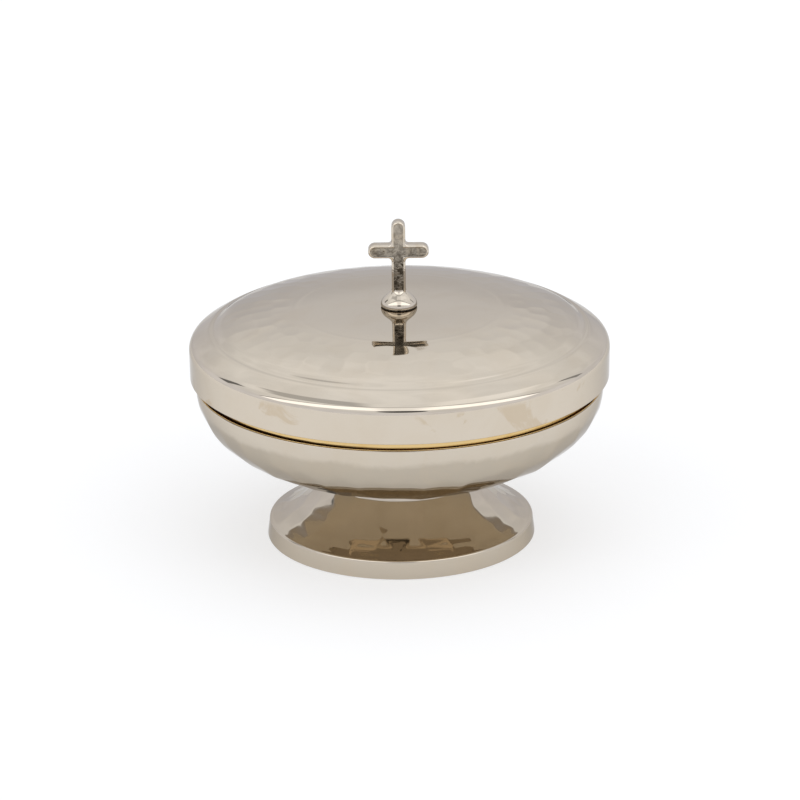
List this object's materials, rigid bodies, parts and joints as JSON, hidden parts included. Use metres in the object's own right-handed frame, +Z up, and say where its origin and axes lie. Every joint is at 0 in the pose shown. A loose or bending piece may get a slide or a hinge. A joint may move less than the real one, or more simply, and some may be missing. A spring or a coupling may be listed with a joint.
{
  "type": "footed host bowl with lid",
  "caption": "Low footed bowl of hammered nickel-plated metal with a gilt liner and a domed lift-off lid carrying a small cross finial.",
  "frame": {"origin": "centre of the foot's resting ring, on the surface the bowl stands on", "axes": "+Z up along the axis that every turned piece shares; -Y is the front, the side the flat face of the cross looks to; +X to the right"},
  "size_m": [0.16, 0.16, 0.1254],
  "materials": {
    "hammered_nickel": "nickel-plated brass sheet, lightly hammered and polished",
    "polished_nickel": "nickel-plated, turned and polished",
    "cast_nickel": "nickel-plated casting with a slightly rough face",
    "gilt": "gold-plated brass sheet, polished",
    "steel": "plain zinc-plated fastener steel"
  },
  "bodies": {
    "base": {"foot_shell": "hammered_nickel", "bowl_shell": "hammered_nickel", "gilt_liner": "gilt", "bowl_stud": "steel", "spreader_plate": "steel", "lock_washer": "steel", "foot_nut": "steel"},
    "lid": {"lid_shell": "hammered_nickel", "lid_seat_ring": "gilt", "finial_boss": "polished_nickel", "finial_cross": "cast_nickel", "finial_stud": "steel", "finial_washer": "steel", "finial_nut": "steel"}
  },
  "joints": [
    {"name": "lid_lift", "type": "slide", "parent": "base", "child": "lid", "axis": [0, 0, 1], "range_m": [0, 0.07]}
  ]
}
